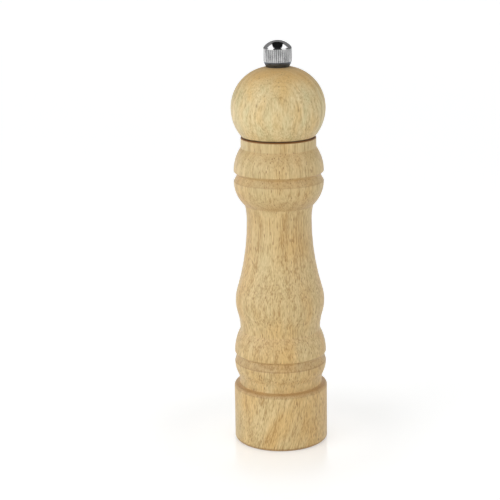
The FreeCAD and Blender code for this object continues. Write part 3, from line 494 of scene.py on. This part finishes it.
def coilTree():  # wire swept along a helix, with flat cut ends
    tree, given = geometryTree("coil", {
        "Turns": "NodeSocketFloat", "Steps": "NodeSocketInt", "Radius": "NodeSocketFloat",
        "Wire": "NodeSocketFloat", "Sides": "NodeSocketInt", "Foot": "NodeSocketFloat",
        "Rise": "NodeSocketFloat", "Finish": "NodeSocketMaterial"})
    helix = addNode(tree, "GeometryNodeCurveSpiral", {
        "Resolution": given["Steps"], "Rotations": given["Turns"], "Start Radius": given["Radius"],
        "End Radius": given["Radius"], "Height": given["Rise"]})[0]
    up = addNode(tree, "ShaderNodeCombineXYZ", {2: given["Foot"]})[0]
    raised = addNode(tree, "GeometryNodeSetPosition", {"Geometry": helix, "Offset": up})[0]
    half = addNode(tree, "ShaderNodeMath", {0: given["Wire"], 1: 0.5}, operation="MULTIPLY")[0]
    section = addNode(tree, "GeometryNodeCurvePrimitiveCircle", {
        "Resolution": given["Sides"], "Radius": half})[0]
    wire = addNode(tree, "GeometryNodeCurveToMesh", {
        "Curve": raised, "Profile Curve": section, "Fill Caps": True})[0]
    return closeTree(tree, wire, given["Finish"])


lathe = latheTree()
emptyMesh = bpy.data.meshes.new("start")

# Body: outside from the foot up, then the socket, chamber, seat and recess from the top down.
bodyTurning = {
    "segments": 160, "sharp": 40,
    # the last number of each corner is painted shade: round the foot, on the shoulder, in the grooves,
    # darkest at the seam
    "corners": [
        (23.8, 0, "uprightEnd", 0, 0.4), (25.0, 1.5, None, 0.3, 0),  # foot
        (25.0, 29.4, "uprightStart", 0.2, 0.26), (23.8, 31.2, None, 0, 0.13),  # shoulder of the base
        (22.1, 31.7, "uprightStart", 0.3, 0.02), (22.6, 36.5, "uprightEnd", 1.0, 0),  # collar
        (24.5, 43.7, None, 0.2, 0.42), (24.3, 44.4, None, 0.2, 0.24),  # lower groove
        (23.3, 47.8, None, 0.1, 0.1), (24.5, 49.1, "uprightStart", 0.2, 0),  # lower bead
        (21.3, 61.6, "uprightStart", 0.5, 0), (22.68, 70.80, "uprightEnd", 0, 0),
        (23.65, 77.3, "uprightStart", 0, 0), (22.68, 83.78, "uprightEnd", 0, 0),  # bulge
        (17.1, 121.2, "uprightStart", 0, 0), (18.0, 129.3, "uprightEnd", 0.3, 0),  # waist
        (23.6, 142.1, None, 0.2, 0.2), (23.31, 142.65, None, 0.2, 0.06),  # upper bead
        (22.07, 145.0, None, 0.2, 0.06), (21.7, 145.7, None, 0.1, 0.04),  # upper groove
        (23.6, 147.4, "uprightStart", 0.2, 0), (19.7, 159.9, None, 0.3, 0),  # cup
        (19.7, 164.7, "uprightStart", 0.2, 1.0), (19.1, 165.3, None, 0.1, 1.0),  # rim below the head, painted dark as the shade of the seam
        (17.4, 165.3, None, 0.6, 0.15), (13.0, 165.3, None, 0.4, 0),
        (13.0, 147.3, None, 0, 0), (12.0, 147.3, None, 0.2, 0),  # socket
        (12.0, 30.6, None, 0, 0), (14.09, 30.6, None, 0, 0),  # chamber
        (14.09, 10.0, None, 0, 0), (18.79, 10.0, None, 0, 0),  # seat
        (18.79, 0.0, None, 0.4, 0),  # recess
    ],
}
body = runTree(lathe, "turnedBody", outline(bodyTurning["corners"]),
               {"Segments": bodyTurning["segments"], "Finish": bodyTimber})
body.data.set_sharp_from_angle(angle=math.radians(bodyTurning["sharp"]))
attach(body, "body")
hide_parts("body")

# Head: the tenon, the ball, and the bore for the spindle.
headTurning = {
    "segments": 160, "sharp": 40, "foot": 165.6,
    "corners": [
        (4.44, -15.0, None, 0, 0), (12.7, -15.0, None, 0.4, 0),  # tenon
        (12.7, 0.0, None, 0.2, 0.15), (17.4, 0.0, None, 0.6, 1.0),  # face on the body's rim, painted dark as the shade of the seam
        (19.1, 0.0, "uprightEnd", 0.6, 0), (24.6, 14.8, "uprightStart", 0, 0),  # ball
        (6.5, 35.9, None, 0, 0), (4.44, 35.9, None, 0.3, 0),  # seat of the nut, bore
    ],
}
head = runTree(lathe, "ballHead", outline(headTurning["corners"], headTurning["foot"]),
               {"Segments": headTurning["segments"], "Finish": headTimber})
head.data.set_sharp_from_angle(angle=math.radians(headTurning["sharp"]))
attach(head, "head")
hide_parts("head")
print("wood turned:", len(body.data.polygons), len(head.data.polygons), "faces")

# Nut: blind bore, foot, chamfer, knurled band and polished dome.
nutTurning = {
    "segments": 480, "sharp": 32, "foot": 201.5, "rim": 7.3,
    "knurlCount": 40, "knurlDepth": 0.4, "knurlFlat": 0.12,  # half a ridge's flat, in shares of a spacing
    "bandLow": 2.9, "bandHigh": 9.4, "bandInside": 6.5, "runOut": 0.1,
    "corners": [
        (0.0, 9.0, None, 0, 0), (2.55, 9.0, None, 0, 0), (2.55, 0.0, None, 0.3, 0),  # bore
        (5.95, 0.0, None, 0.25, 0), (7.3, 2.9, None, 0.3, 0),  # foot and chamfer
        (7.3, 9.4, None, 0, 0), (7.3, 9.5, None, 0, 0), (7.3, 9.565, "uprightStart", 0, 0),  # band
        (6.93, 10.55, "levelEnd", 0, 0), (0.0, 13.7, None, 0, 0),  # dome
    ],
}
nut = runTree(lathe, "capNut", outline(nutTurning["corners"], nutTurning["foot"], closed=False),
              {"Segments": nutTurning["segments"], "Finish": nickel})
nut = runTree(knurlTree(), "knurledNut", nut.data, {
    "Count": nutTurning["knurlCount"], "Depth": nutTurning["knurlDepth"] / 1000,
    "Flat": nutTurning["knurlFlat"], "Rim": nutTurning["rim"] / 1000,
    "Inside": nutTurning["bandInside"] / 1000,
    "Band Low": (nutTurning["foot"] + nutTurning["bandLow"]) / 1000,
    "Band High": (nutTurning["foot"] + nutTurning["bandHigh"]) / 1000,
    "Run Out": nutTurning["runOut"] / 1000, "Band Finish": knurled, "Foot Finish": shadedNickelFoot})
bpy.data.objects.remove(bpy.data.objects["capNut"])
nut.data.set_sharp_from_angle(angle=math.radians(nutTurning["sharp"]))
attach(nut, "nut")
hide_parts("adjusting_nut")
print("nut knurled:", len(nut.data.polygons), "faces")

# Spindle: the square bar as it is, with a real thread in place of its plain end.
thread = {
    "crest": 2.5, "depth": 0.49, "pitch": 0.8, "foot": 195.4, "length": 13.6, "tip": 1.9,
    "overlap": 0.11, "segments": 32, "rows": 238, "sharp": 30,
}
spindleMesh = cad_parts["spindle"].data.copy()
bar = bmesh.new()
bar.from_mesh(spindleMesh)
bmesh.ops.remove_doubles(bar, verts=bar.verts, dist=weld)
everything = bar.verts[:] + bar.edges[:] + bar.faces[:]
cutHeight = (thread["foot"] + thread["overlap"]) / 1000
cutLine = bmesh.ops.bisect_plane(bar, geom=everything, plane_co=(0, 0, cutHeight), plane_no=(0, 0, 1),
                                 clear_outer=True)
rimEdges = [item for item in cutLine["geom_cut"] if isinstance(item, bmesh.types.BMEdge)]
bmesh.ops.holes_fill(bar, edges=rimEdges, sides=0)
threadPiece = runTree(threadTree(), "thread", emptyMesh, {
    "Crest": thread["crest"] / 1000, "Depth": thread["depth"] / 1000, "Pitch": thread["pitch"] / 1000,
    "Foot": thread["foot"] / 1000, "Length": thread["length"] / 1000, "Tip": thread["tip"] / 1000,
    "Segments": thread["segments"], "Rows": thread["rows"], "Finish": drawnSteel})
bar.from_mesh(threadPiece.data)
bpy.data.objects.remove(threadPiece)
bar.to_mesh(spindleMesh)
bar.free()
spindleMesh.materials.clear()
spindleMesh.materials.append(drawnSteel)
spindleMesh.polygons.foreach_set("material_index", [0] * len(spindleMesh.polygons))
spindleMesh.set_sharp_from_angle(angle=math.radians(thread["sharp"]))
spindle = bpy.data.objects.new("threadedSpindle", spindleMesh)
scene.collection.objects.link(spindle)
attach(spindle, "spindle")
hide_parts("spindle")

# Spring: four open turns between the rotor and the thrust washer.
coil = {"turns": 4.0, "steps": 40, "radius": 5.04, "wire": 1.1, "sides": 14, "low": 18.6, "high": 26.35}
spring = runTree(coilTree(), "coilSpring", emptyMesh, {
    "Turns": coil["turns"], "Steps": coil["steps"], "Radius": coil["radius"] / 1000,
    "Wire": coil["wire"] / 1000, "Sides": coil["sides"], "Foot": coil["low"] / 1000,
    "Rise": (coil["high"] - coil["low"]) / 1000, "Finish": springSteel})
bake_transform(spring)
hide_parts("spring")
print("thread cut and spring wound")

# The rest of the mechanism keeps its solids and takes its real finishes.
finishes = {
    "stop_pin": drawnSteel, "drive_plate": drawnSteel, "bridge": drawnSteel, "thrust_washer": drawnSteel,
    "rotor_washer": drawnSteel, "stator": hardSteel, "rotor": hardSteel, "drive_plate_screws": zinc,
    "stator_screws": zinc, "bridge_rivets": zinc, "rotor_screw": zinc,
}
for nodeName, finish in finishes.items():
    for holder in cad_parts[nodeName].material_slots:
        holder.material = finish
print("mechanism finished")

# Camera: about 0.8 m away, a little above the mill, turned and rolled as the photograph is.
view = {"place": (0.0, -0.760, 0.29924), "pitch": 14.37, "yaw": 1.178, "roll": -0.862, "lens": 106.6}
camera = bpy.data.objects.new("camera", bpy.data.cameras.new("camera"))
camera.data.lens = view["lens"]
camera.matrix_world = (Matrix.Translation(view["place"])
                       @ Matrix.Rotation(math.radians(view["yaw"]), 4, "Z")
                       @ Matrix.Rotation(math.radians(90 - view["pitch"]), 4, "X")
                       @ Matrix.Rotation(math.radians(view["roll"]), 4, "Z"))
scene.collection.objects.link(camera)
scene.camera = camera

# Light: a large soft key from the left, weaker fills from the right and the front, and a room that is
# brighter low down.
studio = {
    "horizon": 0.85, "zenith": 0.50, "aim": (0, 0, 0.11),
    "boxes": {  # place, side and watts
        "keyLeft": ((-1.0, -0.70, 0.34), 0.9, 6.35), "fillRight": ((1.0, -0.60, 0.34), 0.8, 1.9),
        "fillFront": ((-0.1, -1.50, 0.50), 1.0, 2.1),
    },
}
for label, (place, side, watts) in studio["boxes"].items():
    lamp = bpy.data.lights.new(label, "AREA")
    lamp.size, lamp.energy = side, watts
    softbox = bpy.data.objects.new(label, lamp)
    aim = Vector(studio["aim"]) - Vector(place)
    softbox.matrix_world = Matrix.Translation(place) @ aim.to_track_quat("-Z", "Y").to_matrix().to_4x4()
    softbox.visible_glossy = False
    scene.collection.objects.link(softbox)


def inView(tree):  # 1 where the camera sees a thing straight, in a reflection or through glass
    rays = addNode(tree, "ShaderNodeLightPath")
    seen = rays["Is Camera Ray"]
    for kind in ("Is Glossy Ray", "Is Transmission Ray"):
        seen = addNode(tree, "ShaderNodeMath", {0: seen, 1: rays[kind]}, operation="MAXIMUM")[0]
    return seen


world = bpy.data.worlds.new("studio")
scene.world = world
world.use_nodes = True
sky = world.node_tree
sky.nodes.clear()
direction = addNode(sky, "ShaderNodeTexCoord")["Generated"]
upward = addNode(sky, "ShaderNodeSeparateXYZ", {0: direction})["Z"]
room = addNode(sky, "ShaderNodeMapRange", {
    "Value": upward, "To Min": studio["horizon"], "To Max": studio["zenith"]})[0]
strength = addNode(sky, "ShaderNodeMix", {0: inView(sky), 2: room, 3: 1.0})[0]
backdrop = addNode(sky, "ShaderNodeBackground", {"Color": (1, 1, 1, 1), "Strength": strength})[0]
addNode(sky, "ShaderNodeOutputWorld", {"Surface": backdrop})


def levelCard(left, right, near, far, height):
    return [(left, near, height), (right, near, height), (right, far, height), (left, far, height)]


def uprightCard(start, end, low, high):
    return [(*start, low), (*end, low), (*end, high), (*start, high)]


# Cards that only reflections see, each with its brightness: the dark gap between two bright panels
# overhead, grey walls behind, flags close round the nut, a soft glow at the left and a box at each side.
cards = {
    "gapOverhead": (0.01, levelCard(-0.33, 0.33, -0.60, 0.75, 0.99)),
    "flagFront": (0.03, [  # narrower at the top
        (-0.085, -0.12, 0.185), (0.085, -0.12, 0.185), (0.07, -0.12, 0.51), (-0.07, -0.12, 0.51)]),
    "greyOverhead": (0.24, levelCard(-0.33, 0.33, 0.75, 1.6, 0.99)),
    "greyLeft": (0.26, levelCard(-1.6, -0.33, 0.42, 1.6, 1.0)),
    "greyRight": (0.22, levelCard(0.33, 1.6, 0.42, 1.6, 1.0)),
    "flagBehind": (0.22, uprightCard((-0.12, 0.12), (0.12, 0.12), 0.185, 0.275)),
    "flagLeft": (0.26, uprightCard((-0.12, -0.01), (-0.12, 0.12), 0.185, 0.275)),
    "flagRight": (0.20, uprightCard((0.12, -0.04), (0.12, 0.12), 0.185, 0.275)),
    "glowLeft": (1.75, uprightCard((-0.25, 0.01), (-0.22, 0.32), 0.07, 0.17)),
    "panelLeft": (1.4, levelCard(-1.0, -0.33, -1.6, 0.42, 1.0)),
    "panelRight": (1.4, levelCard(0.33, 1.0, -1.6, 0.42, 1.0)),
    "boxLeft": (1.4, uprightCard((-1.0, -1.6), (-1.0, -0.1), 0.0, 1.0)),
    "boxRight": (1.15, uprightCard((1.0, -1.6), (1.0, -0.1), 0.0, 1.0)),
}
for label, (grey, corners) in cards.items():
    paint, paintTree = newMaterial(label)
    glow = addNode(paintTree, "ShaderNodeEmission", {"Color": (grey, grey, grey, 1)})[0]
    addNode(paintTree, "ShaderNodeOutputMaterial", {"Surface": glow})
    cardMesh = bpy.data.meshes.new(label)
    cardMesh.from_pydata(corners, [], [(0, 1, 2, 3)])
    cardMesh.materials.append(paint)
    card = bpy.data.objects.new(label, cardMesh)
    card.visible_camera = card.visible_diffuse = card.visible_shadow = card.visible_transmission = False
    scene.collection.objects.link(card)

# Floor: white satin board, which shows the contact shadow and a faint reflection that fades with distance.
# Its white glow is weaker near the foot, which paints a soft shade round it.
floorBoard = {
    "reach": 5.0, "height": -0.00005, "white": "#F1F2F2", "specular": 0.95,  # reach and height in metres
    "haze": (40, 40, 40), "roughness": (0.05, 0.08),
    "dull": 0.5, "dullWay": (32, 64),  # a way is from one distance to another, in millimetres from the axis
    "lift": (0.318, 0.382), "shadeWay": (45, 100),
}
floorMaterial, board = newMaterial("whiteBoard")
floorPlace = addNode(board, "ShaderNodeTexCoord")["Object"]
hazeScale = perMm(*floorBoard["haze"])
hazePlace = addNode(board, "ShaderNodeMapping", {"Vector": floorPlace, "Scale": hazeScale})[0]
floorHaze = addNode(board, "ShaderNodeTexNoise", {"Vector": hazePlace, "Scale": 1, "Detail": 2})[0]
glossy, dull = floorBoard["roughness"]
floorGloss = addNode(board, "ShaderNodeMapRange", {"Value": floorHaze, "To Min": glossy, "To Max": dull})[0]
floorWay = addNode(board, "ShaderNodeVectorMath", {0: floorPlace}, operation="LENGTH")["Value"]
near, far = floorBoard["dullWay"]
floorDull = addNode(board, "ShaderNodeMapRange", {
    "Value": floorWay, "From Min": near / 1000, "From Max": far / 1000, "To Max": floorBoard["dull"]})[0]
floorGloss = addNode(board, "ShaderNodeMath", {0: floorGloss, 1: floorDull}, operation="ADD")[0]
floorShade = addNode(board, "ShaderNodeBsdfPrincipled", {
    "Base Color": toLinear(floorBoard["white"]), "Roughness": floorGloss,
    "Specular IOR Level": floorBoard["specular"]})[0]
# the floor glows for the camera and in reflections so it reads white; the glow rises across the shade way,
# painting a soft shade round the foot
(liftNear, liftFar), (near, far) = floorBoard["lift"], floorBoard["shadeWay"]
floorGlowShade = addNode(board, "ShaderNodeMapRange", {
    "Value": floorWay, "From Min": near / 1000, "From Max": far / 1000,
    "To Min": liftNear, "To Max": liftFar})[0]
floorGlowShade = addNode(board, "ShaderNodeMath", {0: inView(board), 1: floorGlowShade}, operation="MULTIPLY")[0]
floorGlow = addNode(board, "ShaderNodeEmission", {"Strength": floorGlowShade})[0]
floorSum = addNode(board, "ShaderNodeAddShader", {0: floorShade, 1: floorGlow})[0]
addNode(board, "ShaderNodeOutputMaterial", {"Surface": floorSum})
floorMesh = bpy.data.meshes.new("floor")
reach = floorBoard["reach"]
floorMesh.from_pydata(levelCard(-reach, reach, -reach, reach, floorBoard["height"]), [], [(0, 1, 2, 3)])
floorMesh.materials.append(floorMaterial)
floor = bpy.data.objects.new("floor", floorMesh)
scene.collection.objects.link(floor)
print("studio set")
